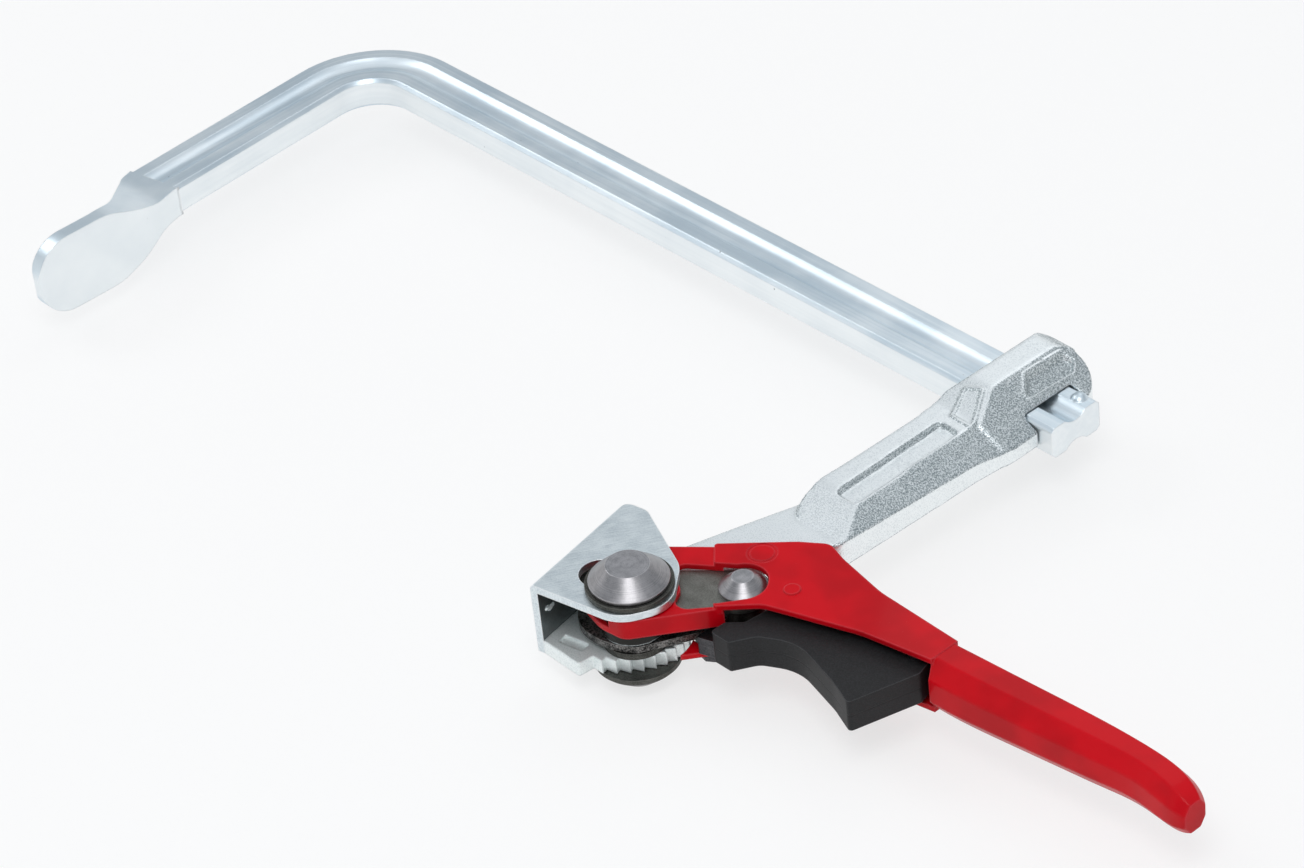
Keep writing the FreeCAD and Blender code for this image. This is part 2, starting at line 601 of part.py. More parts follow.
def stamped_ring():
    """A shallow round mark pressed into the upper cheek."""
    centre = PIVOT + Vector(16.8, 37, 0)
    low = CHEEK_HIGH - 0.25
    return disc(centre, 4.6, low, CHEEK_HIGH + 1).cut(disc(centre, 3.7, low, CHEEK_HIGH + 1))


def pocket_corners():
    """The hollow between the shell's broad cheeks, closed along the far side and at the grip."""
    return about_pivot([(6, 31.4, 0), (6, 90, 0), (30, 90, 0), (31.5, 50.3, 0), (37, 47.6, 8), (56, 43.9, 30),
                        (84, 42.4, 4), (88.5, 33, 6), (92, 20, 0), (92, -60, 0), (25.6, -60, 0), (25.6, 13, 0)])


def prong_pocket_corners():
    """The hollow between the prongs for the cam plates and the arm's tongue."""
    return about_pivot([(-60, -60, 0), (26, -60, 0), (26, 34, 0), (12, 60, 0), (-60, 60, 0)])


def pawl_window():
    """The opening in the lower cheek for the pawl's nose and its lift."""
    return about_pivot([(6, 10, 0), (16, 9, 0), (19, 9, 0.5), (22.4, 11.3, 0.5), (22.4, 17, 1), (18, 21, 0), (6, 22, 0)])


def pin_shape(centre, radius, reach):
    """An upright cylinder that reaches as far below the middle plane as above it."""
    return disc(centre, radius, -reach, reach)


def make_stop_pin():
    """The pin that limits the trigger's travel, its ends just proud of both cheeks."""
    proud = 0.4
    return pin_shape(STOP_PIN, STOP_PIN_RADIUS, CHEEK_HIGH + proud)


def make_trigger_pin():
    """The trigger's pivot, seated in blind holes inside both cheeks."""
    return pin_shape(TRIGGER_PIN, TRIGGER_PIN_RADIUS, CHEEK_LOW + TRIGGER_PIN_SEAT)


def trigger_corners():
    """The trigger seen from above: a finger curve in front and a back that hides in the shell."""
    return about_pivot([(27.6, 11, 2), (27.6, 5.5, 1.2), (35, 5.5, 1), (39.4, 13, 6), (50, 18.6, 16), (70, 13.2, 26),
                        (79.6, 9.4, 1.2), (86, 32, 2), (83.5, 40.5, 3), (60, 40, 10), (42, 40, 6), (34, 34, 5),
                        (32, 15, 3)])


def make_trigger():
    """The moulded trigger, with a hole for its pin, room for the spring and a slot for the stop pin."""
    high = TRIGGER_HEIGHT / 2
    body = prism(trigger_corners(), -high, high)
    body = body.cut(disc(TRIGGER_PIN, TRIGGER_PIN_RADIUS + RUNNING_CLEARANCE, -high, high))
    body = body.cut(disc(TRIGGER_PIN, SPRING_RADIUS + SPRING_WIRE / 2 + 0.4, -3.4, 3.4))
    lift = math.radians(TRIGGER_PULL) * (TRIGGER_PIN - STOP_PIN).Length
    room = STOP_PIN_RADIUS + 0.5
    slot = prism([(STOP_PIN.x - room, STOP_PIN.y - lift - room, 1), (STOP_PIN.x + room, STOP_PIN.y - lift - room, 1),
                  (STOP_PIN.x + room, STOP_PIN.y + room, 1), (STOP_PIN.x - room, STOP_PIN.y + room, 1)],
                 -high, high)
    return body.cut(slot).cut(make_pawl())


def make_pawl():
    """The pawl: a nose that reaches down to the teeth and a body moulded into the trigger."""
    near = PIVOT + polar(RATCHET_RADIUS + PAWL_GAP, RATCHET_START + PLATE_ANGLE - 6)
    far = PIVOT + polar(RATCHET_RADIUS + PAWL_GAP, RATCHET_START + PLATE_ANGLE + 2)
    back = about_pivot([(18.8, 9.8, 0.3), (21.8, 11.8, 0.3), (21.9, 13.6, 0.5), (17.5, 14.6, 1)])
    nose = prism([(far.x, far.y, 0.3), (near.x, near.y, 0.3)] + back, -RATCHET_BOTTOM + 0.4, -PAWL_LOW)
    body = prism(about_pivot([(20.4, 5.8, 0.6), (27, 7.8, 0), (36, 10, 1), (38, 18, 2), (32, 19, 2), (26, 15.5, 1),
                              (20.4, 12.8, 1)]), -PAWL_LOW, -PAWL_TOP)
    return nose.fuse(body).removeSplitter()


def make_spring():
    """The return spring: a small coil about the trigger's pin."""
    pitch = SPRING_WIRE * 1.35
    height = pitch * SPRING_TURNS
    helix = Part.makeHelix(pitch, height, SPRING_RADIUS)
    wire = Part.Wire(helix.Edges)
    section = Part.Wire(Part.makeCircle(SPRING_WIRE / 2, Vector(SPRING_RADIUS, 0, 0), Vector(0, 1, 0)))
    coil = wire.makePipeShell([section], True, True)
    coil.translate(Vector(TRIGGER_PIN.x, TRIGGER_PIN.y, -height / 2))
    return coil


# Places that the bend and the arm need
BEND_CENTRE = Vector(4.0, RAIL_Y - BEND_RADIUS, 0)
JAW_TURN = math.radians(JAW_LEAN)
JAW_WAY = Vector(math.sin(JAW_TURN), -math.cos(JAW_TURN), 0)
JAW_END = BEND_CENTRE + Vector(-math.cos(JAW_TURN), -math.sin(JAW_TURN), 0) * BEND_RADIUS + JAW_WAY * JAW_STEM_LENGTH
ARM_X = PIVOT_X + 16.5


def build():
    """Every piece by name."""
    return {
        "rail_with_fixed_jaw": make_rail(),
        "sliding_arm": make_arm(),
        "main_rivet": make_main_rivet(),
        "upper_washer": make_washer(SHEET_HIGH + PLATE_GAP),
        "rivet_collar": make_collar(),
        "lower_washer": make_washer(-RATCHET_BOTTOM - PLATE_GAP - WASHER_THICKNESS),
        "pressure_plate": make_pressure_plate(),
        "ratchet_plate": make_ratchet_plate(),
        "upper_cam_plate": make_upper_cam_plate(),
        "lower_cam_plate": make_lower_cam_plate(),
        "lever_rivet": make_lever_rivet(),
        "cam_spacer": make_spacer(),
        "lever_shell": make_shell(),
        "stop_pin": make_stop_pin(),
        "trigger_pin": make_trigger_pin(),
        "trigger": make_trigger(),
        "pawl": make_pawl(),
        "trigger_spring": make_spring(),
    }


def export():
    """Writes each piece to its own STEP file."""
    os.makedirs("parts", exist_ok=True)
    for name, shape in build().items():
        solids = shape.Solids
        piece = solids[0] if len(solids) == 1 else Part.makeCompound(solids)
        print(f"{name}: {len(solids)} solid, valid {shape.isValid()}, {piece.Volume:.0f} mm3, box {piece.BoundBox}")
        piece.exportStep(f"parts/{name}.step")


export()
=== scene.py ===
"""Looks of the lever clamp: finishes for every node, the forged arm, a pale floor, soft light and the camera."""

import logging
import math
from dataclasses import dataclass
from enum import Enum

import bmesh
import bpy
from mathutils import Matrix, Vector


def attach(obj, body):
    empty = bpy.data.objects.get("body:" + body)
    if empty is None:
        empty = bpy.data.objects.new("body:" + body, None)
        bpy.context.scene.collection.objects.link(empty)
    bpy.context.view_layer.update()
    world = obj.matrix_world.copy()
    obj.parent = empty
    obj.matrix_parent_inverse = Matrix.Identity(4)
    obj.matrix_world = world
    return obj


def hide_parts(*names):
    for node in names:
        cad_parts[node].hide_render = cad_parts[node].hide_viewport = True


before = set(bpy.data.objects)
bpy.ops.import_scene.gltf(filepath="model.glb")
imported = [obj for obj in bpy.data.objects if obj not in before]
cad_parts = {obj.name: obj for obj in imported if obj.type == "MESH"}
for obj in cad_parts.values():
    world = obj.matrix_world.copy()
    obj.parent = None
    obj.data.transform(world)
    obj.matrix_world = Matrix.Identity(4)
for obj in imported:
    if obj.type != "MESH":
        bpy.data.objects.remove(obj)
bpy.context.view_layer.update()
log = logging.getLogger("lever_clamp")

Colour = tuple[float, float, float]

MM = 0.001
PIVOT = Vector((0.2755, -0.012, 0.0))
LEVER_RIVET = Vector((0.297082, 0.012566, 0.0))
BEND_CENTRE = Vector((0.004, 0.1124, 0.0))
# Squared radii round the pivot in square metres: painted shade is full inside the second and fades out by the first.
FLOOR_HEIGHT = -0.0217
PIVOT_SHADE_SQUARES = (0.000225, 0.00016)
WEB_TOP = 9.2 * MM


class Body(Enum):
    """The bodies that the scene's own pieces ride on."""

    ARM = "arm"
    PLATE = "plate"


class Socket:
    """One output of a shader node, with arithmetic that adds Math nodes."""

    def __init__(self, bench: "Bench", output: bpy.types.NodeSocket) -> None:
        """Wraps an output.

        Args:
            bench: The node tree that the output belongs to.
            output: The output itself.
        """
        self.bench = bench
        self.output = output

    def _math(self, operation: str, first: object, second: object = 0.0, clamp: bool = False) -> "Socket":
        """Adds one Math node and returns its result."""
        node = self.bench.node("ShaderNodeMath", {"operation": operation, "use_clamp": clamp}, {0: first, 1: second})
        return Socket(self.bench, node.outputs[0])

    def __add__(self, other: object) -> "Socket":
        """Sum."""
        return self._math("ADD", self, other)

    def __radd__(self, other: object) -> "Socket":
        """Sum, other side."""
        return self._math("ADD", other, self)

    def __sub__(self, other: object) -> "Socket":
        """Difference."""
        return self._math("SUBTRACT", self, other)

    def __rsub__(self, other: object) -> "Socket":
        """Difference, other side."""
        return self._math("SUBTRACT", other, self)

    def __mul__(self, other: object) -> "Socket":
        """Product."""
        return self._math("MULTIPLY", self, other)

    def __rmul__(self, other: object) -> "Socket":
        """Product, other side."""
        return self._math("MULTIPLY", other, self)

    def __pow__(self, other: float) -> "Socket":
        """Power."""
        return self._math("POWER", self, other)

    def __abs__(self) -> "Socket":
        """Size without its sign."""
        return self._math("ABSOLUTE", self)

    def at_least(self, other: object) -> "Socket":
        """The larger of the two."""
        return self._math("MAXIMUM", self, other)

    def clamped(self) -> "Socket":
        """The value held between 0 and 1."""
        return self._math("ADD", self, 0.0, clamp=True)

    def band(self, low: float, high: float) -> "Socket":
        """A smooth step.

        Args:
            low: Value at which the step is 0.
            high: Value at which the step is 1; it may be below low.

        Returns:
            The step between 0 and 1.
        """
        node = self.bench.node("ShaderNodeMapRange", {"interpolation_type": "SMOOTHSTEP"},
                               {"Value": self, "From Min": low, "From Max": high})
        return Socket(self.bench, node.outputs[0])


class Bench:
    """The node tree of a material or of the world, and the steps that fill it."""

    def __init__(self, owner: bpy.types.Material | bpy.types.World) -> None:
        """Starts with an empty tree.

        Args:
            owner: The material or world that the tree belongs to.
        """
        self.owner = owner
        self.owner.use_nodes = True
        self.tree = self.owner.node_tree
        self.tree.nodes.clear()
        self.coordinates = self.node("ShaderNodeTexCoord", {}, {})
        self.place = self.coordinates.outputs["Object"]

    @classmethod
    def for_material(cls, name: str) -> "Bench":
        """Starts a new material."""
        return cls(bpy.data.materials.new(name))

    def node(self, kind: str, settings: dict[str, object], inputs: dict[str | int, object]) -> bpy.types.Node:
        """Adds a node.

        Args:
            kind: The node's type.
            settings: Its own settings, set before the inputs.
            inputs: Values or links for its sockets, by name or number.

        Returns:
            The new node.
        """
        made = self.tree.nodes.new(kind)
        for key, value in settings.items():
            setattr(made, key, value)
        for key, value in inputs.items():
            source = value.output if isinstance(value, Socket) else value
            if isinstance(source, bpy.types.NodeSocket):
                self.tree.links.new(source, made.inputs[key])
            else:
                made.inputs[key].default_value = source
        return made

    def axes(self) -> tuple[Socket, Socket, Socket]:
        """The three object coordinates, in metres."""
        split = self.node("ShaderNodeSeparateXYZ", {}, {0: self.place})
        return Socket(self, split.outputs[0]), Socket(self, split.outputs[1]), Socket(self, split.outputs[2])

    def lean(self) -> tuple[Socket, Socket]:
        """The normal's parts along the rail and upward."""
        split = self.node("ShaderNodeSeparateXYZ", {}, {0: self.coordinates.outputs["Normal"]})
        return Socket(self, split.outputs[0]), Socket(self, split.outputs[2])

    def joined(self, x: object, y: object, z: object) -> bpy.types.NodeSocket:
        """A vector of three values."""
        return self.node("ShaderNodeCombineXYZ", {}, {0: x, 1: y, 2: z}).outputs[0]

    def noise(self, size: float, detail: float = 2.0, vector: object = None) -> Socket:
        """Cloudy noise.

        Args:
            size: Width of a feature in metres.
            detail: Number of finer layers.
            vector: Where to read it, or None for the object's own coordinates.

        Returns:
            Values about 0.5.
        """
        made = self.node("ShaderNodeTexNoise", {},
                         {"Vector": self.place if vector is None else vector, "Scale": 1.0 / size, "Detail": detail,
                          "Roughness": 0.55})
        return Socket(self, made.outputs["Fac"])

    def specks(self, size: float, share: float) -> Socket:
        """Small scattered pits.

        Args:
            size: Distance between cells in metres.
            share: Radius of a pit as a share of the cell.

        Returns:
            1 in a pit and 0 elsewhere.
        """
        cells = self.node("ShaderNodeTexVoronoi", {"feature": "F1"}, {"Vector": self.place, "Scale": 1.0 / size})
        return Socket(self, cells.outputs["Distance"]).band(share, share * 0.45)

    def edges(self, radius: float) -> Socket:
        """How near a sharp edge is, from the difference between the rounded and the true normal; the finishes paint a
        highlight with it.
        """
        rounded = self.node("ShaderNodeBevel", {"samples": 6}, {"Radius": radius}).outputs[0]
        true = self.node("ShaderNodeNewGeometry", {}, {}).outputs["Normal"]
        dot = self.node("ShaderNodeVectorMath", {"operation": "DOT_PRODUCT"}, {0: rounded, 1: true})
        return Socket(self, dot.outputs["Value"]).band(0.995, 0.86)

    def ramp(self, value: object, stops: tuple[tuple[float, Colour], ...]) -> bpy.types.NodeSocket:
        """Colours along a value.

        Args:
            value: The value or its link.
            stops: Places from 0 to 1, each with its colour.

        Returns:
            The colour.
        """
        made = self.node("ShaderNodeValToRGB", {}, {0: value})
        elements = made.color_ramp.elements
        while len(elements) < len(stops):
            elements.new(0.5)
        for element, (spot, colour) in zip(elements, stops):
            element.position = spot
            element.color = (*colour, 1.0)
        return made.outputs[0]

    def mix(self, share: object, first: object, second: object) -> bpy.types.NodeSocket:
        """A blend of two colours.

        Args:
            share: 0 gives the first colour and 1 the second.
            first: A colour or a colour link.
            second: A colour or a colour link.

        Returns:
            The blended colour.
        """
        colours = [(*c, 1.0) if isinstance(c, tuple) else c for c in (first, second)]
        made = self.node("ShaderNodeMix", {"data_type": "RGBA"}, {0: share, 6: colours[0], 7: colours[1]})
        return made.outputs[2]

    def relief(self, height: Socket, depth: float, radius: float, strength: float) -> bpy.types.NodeSocket:
        """A bump over softly rounded edges.

        Args:
            height: The relief, about 0 to 1.
            depth: Height in metres of a step from 0 to 1.
            radius: Radius in metres by which edges look rounded.
            strength: Share of the relief that is used.

        Returns:
            The normal.
        """
        rounded = self.node("ShaderNodeBevel", {"samples": 6}, {"Radius": radius}).outputs[0]
        return self.node("ShaderNodeBump", {}, {"Strength": strength, "Distance": depth, "Height": height,
                                                "Normal": rounded}).outputs[0]

    def finished(self, varying: dict[str, object], fixed: dict[str, object]) -> bpy.types.Material:
        """Closes the material with its shader.

        Args:
            varying: Links of the shader's sockets.
            fixed: Plain values of its sockets.

        Returns:
            The material.
        """
        shader = self.node("ShaderNodeBsdfPrincipled", {}, {**fixed, **varying})
        self.node("ShaderNodeOutputMaterial", {}, {0: shader.outputs[0]})
        return self.owner


@dataclass(frozen=True)
class DrawnZinc:
    """Bright zinc plating on the drawn bar, with long soft streaks that follow it round the bend, a painted highlight
    on the narrow side faces and one along the edges.
    """

    name: str
    pale: Colour = (0.82, 0.89, 0.93)
    deep: Colour = (0.60, 0.70, 0.77)

    def make(self) -> bpy.types.Material:
        """Builds the material."""
        b = Bench.for_material(self.name)
        x, y, z = b.axes()
        left = (BEND_CENTRE.x - x).at_least(0.0)
        up = (y - BEND_CENTRE.y).at_least(0.0)
        across = (left * left + up * up) ** 0.5
        along = x - y
        streak = b.noise(1.0, 3.0, b.joined(across * 900.0, z * 900.0, along * 9.0))
        wide = b.noise(1.0, 2.0, b.joined(across * 230.0, z * 230.0, along * 14.0))
        cloud = b.noise(0.022, 3.0)
        fine = b.noise(0.0006, 3.0)
        pit = b.specks(0.0085, 0.055) * b.noise(0.012).band(0.5, 0.6)
        drawn = y.band(0.026, 0.045)
        tone = ((streak * 0.25 + wide * 0.35) * drawn + 0.3 * (1.0 - drawn) + cloud * 0.4).band(0.36, 0.64)
        colour = b.mix(tone, self.deep, self.pale)
        _, upward = b.lean()
        # Painted highlight: the narrow side faces, whose normal lies flat, are made lighter.
        side_highlight = abs(upward).band(0.4, 0.1)
        colour = b.mix(side_highlight * 0.6, colour, (0.94, 0.96, 0.96))
        # Painted highlight along the sharp edges.
        colour = b.mix(b.edges(0.5 * MM) * 0.55, colour, (0.95, 0.97, 0.98))
        colour = b.mix(pit * 0.7, colour, (0.2, 0.23, 0.25))
        rough = 0.27 + streak * 0.12 + fine * 0.08
        height = (streak * 0.5 + wide * 0.6) * (drawn * 0.8 + 0.2) + fine * 0.25 - pit * 2.0
        normal = b.relief(height, 0.03 * MM, 0.7 * MM, 0.7)
        return b.finished({"Base Color": colour, "Roughness": rough, "Normal": normal}, {"Metallic": 1.0})


@dataclass(frozen=True)
class ForgedZinc:
    """Zinc plating over a forged skin: fine on the flats and coarse on the sloping faces, with painted shade on the
    slopes, a painted highlight on the flats and edges, and for the arm painted shade on the upright faces round the
    pivot.
    """

    name: str
    pale: Colour = (0.90, 0.94, 0.95)
    deep: Colour = (0.36, 0.42, 0.45)
    grain: float = 0.44
    metal: float = 1.0
    # Share of painted shade on the upright faces near the pivot, from 0 to 1.
    pivot_shade: float = 0.0

    def make(self) -> bpy.types.Material:
        """Builds the material."""
        b = Bench.for_material(self.name)
        _, upward = b.lean()
        flat = abs(upward).band(0.9, 0.985)
        steep = abs(upward).band(0.35, 0.12)
        slope = (1.0 - flat) * (1.0 - steep)
        coarse = b.noise(self.grain * MM, 2.0)
        fine = b.noise(0.3 * MM, 2.0)
        cloud = b.noise(14.0 * MM, 3.0)
        speck = coarse.band(0.36, 0.62)
        # Painted highlight: flat and upright faces are lifted towards the pale tone, while sloping faces keep the
        # darker tone.
        tone = (speck * 0.5 + cloud * 0.3 + fine * 0.2 + 0.5 * (1.0 - slope)).clamped()
        colour = b.mix(tone, self.deep, self.pale)
        # Painted shade on the sloping faces, laid between the specks of their real coarse grain.
        colour = b.mix(slope * (1.0 - speck) * 0.65, colour, (0.15, 0.19, 0.2))
        # Painted highlight along the sharp edges.
        colour = b.mix(b.edges(0.7 * MM) * 0.4, colour, (0.92, 0.95, 0.96))
        x, y, _ = b.axes()
        dx = x - PIVOT.x
        dy = y - PIVOT.y
        # Painted shade on the upright faces within about 15 mm of the pivot.
        pivot_shade_mask = (dx * dx + dy * dy).band(*PIVOT_SHADE_SQUARES) * steep
        colour = b.mix(pivot_shade_mask * self.pivot_shade, colour, (0.03, 0.03, 0.028))
        rough = 0.42 + slope * 0.06 - speck * 0.1
        height = coarse * (0.35 + slope * 0.65) + fine * 0.22
        normal = b.relief(height, 0.22 * MM, 0.9 * MM, 0.75)
        return b.finished({"Base Color": colour, "Roughness": rough, "Normal": normal}, {"Metallic": self.metal})


@dataclass(frozen=True)
class SheetZinc:
    """Satin zinc plating on bent sheet, brushed across the plate, with a few light scratches, painted shade on the
    web's inner face and a painted highlight along the edges.
    """

    name: str
    pale: Colour = (0.80, 0.86, 0.88)
    deep: Colour = (0.54, 0.61, 0.65)

    def make(self) -> bpy.types.Material:
        """Builds the material."""
        b = Bench.for_material(self.name)
        turned = b.node("ShaderNodeMapping", {"vector_type": "POINT"},
                        {"Vector": b.place, "Rotation": (0.0, 0.0, math.radians(-58))})
        stretched = b.node("ShaderNodeVectorMath", {"operation": "MULTIPLY"},
                           {0: turned.outputs[0], 1: (160.0, 2600.0, 1400.0)})
        brush = b.noise(1.0, 3.0, stretched.outputs[0])
        cloud = b.noise(6.0 * MM, 4.0)
        fine = b.noise(0.5 * MM, 2.0)
        scratch = brush.band(0.66, 0.74) * b.noise(5.0 * MM).band(0.52, 0.62)
        tone = (brush * 0.45 + cloud * 0.3 + fine * 0.25).band(0.3, 0.66)
        colour = b.mix(tone, self.deep, self.pale)
        colour = b.mix(scratch * 0.6, colour, (0.95, 0.97, 0.98))
        along, upward = b.lean()
        # Painted shade on the web's inner face, which faces along the rail, below the web's top.
        inner_shade = along.band(0.8, 0.95) * abs(upward).band(0.3, 0.1)
        _, _, z = b.axes()
        inner_shade = inner_shade * z.band(WEB_TOP, WEB_TOP - 0.6 * MM)
        colour = b.mix(inner_shade * 0.72, colour, (0.06, 0.07, 0.065))
        # Painted highlight along the sharp edges.
        colour = b.mix(b.edges(0.6 * MM) * 0.75, colour, (0.96, 0.98, 0.99))
        rough = 0.36 + cloud * 0.12 - scratch * 0.12
        normal = b.relief(brush * 0.5 + fine * 0.5 + cloud * 0.4, 0.05 * MM, 0.45 * MM, 0.7)
        return b.finished({"Base Color": colour, "Roughness": rough, "Normal": normal}, {"Metallic": 1.0})


@dataclass(frozen=True)
class TurnedSteel:
    """Darker polished steel, turned about an upright axis, with painted shade on its sides and bottom head and a
    painted highlight along the edges.
    """

    name: str
    centre: Vector
    pale: Colour = (0.48, 0.47, 0.49)
    deep: Colour = (0.29, 0.29, 0.30)

    def make(self) -> bpy.types.Material:
        """Builds the material."""
        b = Bench.for_material(self.name)
        x, y, z = b.axes()
        dx = x - self.centre.x
        dy = y - self.centre.y
        radius = (dx * dx + dy * dy) ** 0.5
        rings = b.noise(1.0, 2.0, b.joined(radius * 2600.0, z * 2600.0, 0.0))
        cloud = b.noise(2.5 * MM, 3.0)
        fine = b.noise(0.35 * MM, 2.0)
        tone = (rings * 0.35 + cloud * 0.4 + fine * 0.25).band(0.35, 0.65)
        colour = b.mix(tone, self.deep, self.pale)
        _, upward = b.lean()
        # Painted shade on every face that doesn't face straight up, such as the head's cone.
        cone_shade = upward.band(0.97, 0.85)
        colour = b.mix(cone_shade * 0.35, colour, (0.2, 0.19, 0.19))
        # Painted highlight along the sharp edges.
        colour = b.mix(b.edges(0.35 * MM) * 0.55, colour, (0.9, 0.9, 0.91))
        # Painted shade on the bottom head, below the clamp.
        colour = b.mix(z.band(-9.0 * MM, -12.0 * MM) * 0.75, colour, (0.1, 0.095, 0.09))
        rough = 0.26 + cloud * 0.12 + rings * 0.06
        normal = b.relief(rings * 0.6 + fine * 0.5, 0.02 * MM, 0.4 * MM, 0.6)
        return b.finished({"Base Color": colour, "Roughness": rough, "Normal": normal}, {"Metallic": 1.0})


@dataclass(frozen=True)
class GrainSteel:
    """Plain steel with a fine even grain, such as ground or blackened plate, with a painted highlight in the edge
    colour along the edges.
    """

    name: str
    pale: Colour
    deep: Colour
    roughness: float = 0.46
    grain: float = 0.45
    depth: float = 0.05
    edge: Colour = (0.7, 0.7, 0.7)

    def make(self) -> bpy.types.Material:
        """Builds the material."""
        b = Bench.for_material(self.name)
        coarse = b.noise(self.grain * MM, 3.0)
        cloud = b.noise(4.0 * MM, 3.0)
        tone = (coarse * 0.6 + cloud * 0.4).band(0.36, 0.64)
        colour = b.mix(tone, self.deep, self.pale)
        # Painted highlight along the sharp edges, in the edge colour.
        colour = b.mix(b.edges(0.35 * MM) * 0.5, colour, self.edge)
        rough = self.roughness + coarse * 0.14 - 0.07
        normal = b.relief(coarse, self.depth * MM, 0.3 * MM, 0.7)
        return b.finished({"Base Color": colour, "Roughness": rough, "Normal": normal}, {"Metallic": 1.0})


@dataclass(frozen=True)
class Enamel:
    """Glossy enamel over pressed steel, thick enough to round every edge."""

    name: str
    colour: Colour = (0.62, 0.0012, 0.008)

    def make(self) -> bpy.types.Material:
        """Builds the material."""
        b = Bench.for_material(self.name)
        peel = b.noise(1.6 * MM, 2.0)
        cloud = b.noise(18.0 * MM, 2.0)
        dust = b.specks(3.2 * MM, 0.05)
        deep = tuple(part * 0.8 for part in self.colour)
        colour = b.mix(cloud.band(0.35, 0.65), deep, self.colour)
        # Painted highlight along the sharp edges.
        colour = b.mix(b.edges(1.0 * MM) * 0.5, colour, (0.86, 0.09, 0.11))
        colour = b.mix(dust * 0.25, colour, (0.75, 0.12, 0.12))
        rough = 0.36 + cloud * 0.06
        normal = b.relief(peel + dust * 0.8, 0.02 * MM, 0.9 * MM, 0.5)
        return b.finished({"Base Color": colour, "Roughness": rough, "Normal": normal},
                          {"Metallic": 0.0, "Specular IOR Level": 0.07, "Coat Weight": 0.16, "Coat Roughness": 0.05})


@dataclass(frozen=True)
class MouldedPlastic:
    """Matte black plastic with a fine spark-eroded grain and the mould's parting line at mid height."""

    name: str
    colour: Colour = (0.012, 0.012, 0.013)

    def make(self) -> bpy.types.Material:
        """Builds the material."""
        b = Bench.for_material(self.name)
        _, _, z = b.axes()
        grain = b.noise(0.35 * MM, 2.0)
        cloud = b.noise(9.0 * MM, 2.0)
        line = abs(z).band(0.22 * MM, 0.06 * MM)
        colour = b.mix(grain.band(0.4, 0.62), tuple(part * 0.7 for part in self.colour),
                       tuple(part * 1.5 for part in self.colour))
        # Painted highlight along the sharp edges.
        colour = b.mix(b.edges(0.6 * MM) * 0.7, colour, (0.09, 0.09, 0.095))
        colour = b.mix(line * 0.5, colour, (0.006, 0.006, 0.007))
        rough = 0.44 + cloud * 0.1 + grain * 0.08
        normal = b.relief(grain * 0.5 - line * 1.5, 0.1 * MM, 0.7 * MM, 0.6)
        return b.finished({"Base Color": colour, "Roughness": rough, "Normal": normal},
                          {"Metallic": 0.0, "Specular IOR Level": 0.28})


class Finishes:
    """Every finish of the clamp, made once and found by name."""

    def __init__(self) -> None:
        """Makes the materials."""
        recipes = [
            DrawnZinc("rail_plating"),
            ForgedZinc("arm_plating", pivot_shade=1.0),
            SheetZinc("plate_plating"),
            ForgedZinc("ratchet_plating", (0.92, 0.97, 0.96), (0.42, 0.50, 0.51), 0.5, 0.5),
            TurnedSteel("main_rivet_steel", PIVOT),
            TurnedSteel("lever_rivet_steel", LEVER_RIVET),
            GrainSteel("cam_steel", (0.25, 0.25, 0.23), (0.14, 0.14, 0.125), 0.5, 0.35, 0.05, (0.42, 0.42, 0.39)),
            # Dark speckled steel as painted shade, for the lower cam plate seen under the shell's lip.
            GrainSteel("shade_speckled_steel", (0.30, 0.29, 0.28), (0.015, 0.015, 0.015), 0.5, 0.55, 0.15, (0.3, 0.3, 0.28)),
            # Dark steel as painted shade: the shadow under the rivet head and the shade between parts, on the washers,
            # collar and spacer.
            GrainSteel("shade_dark_steel", (0.12, 0.12, 0.11), (0.05, 0.05, 0.045), 0.5, 0.4, 0.05, (0.22, 0.22, 0.2)),
            GrainSteel("blackened_steel", (0.10, 0.10, 0.105), (0.045, 0.045, 0.05), 0.42, 0.4, 0.05,
                       (0.24, 0.24, 0.25)),
            Enamel("red_enamel"),
            MouldedPlastic("trigger_plastic"),
        ]
        self.made = {recipe.name: recipe.make() for recipe in recipes}

    def dress(self, thing: bpy.types.Object, name: str) -> None:
        """Gives an object one finish.

        Args:
            thing: The object.
            name: The finish's name.
        """
        if not thing.data.materials:
            thing.data.materials.append(None)
        for place in thing.material_slots:
            place.material = self.made[name]


@dataclass
class PartPiece:
    """A piece of the scene's own, from a bmesh to a finished object."""

    name: str
    body: Body
    slot: str

    def placed(self, shape: bmesh.types.BMesh) -> bpy.types.Object:
        """Makes the object.

        Args:
            shape: The finished shape in its place; it is freed.

        Returns:
            The object, riding on its body.
        """
        bmesh.ops.recalc_face_normals(shape, faces=shape.faces)
        mesh = bpy.data.meshes.new(self.name)
        shape.to_mesh(mesh)
        shape.free()
        for face in mesh.polygons:
            face.use_smooth = True
        thing = bpy.data.objects.new(self.name, mesh)
        bpy.context.scene.collection.objects.link(thing)
        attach(thing, self.body.value)
        return thing


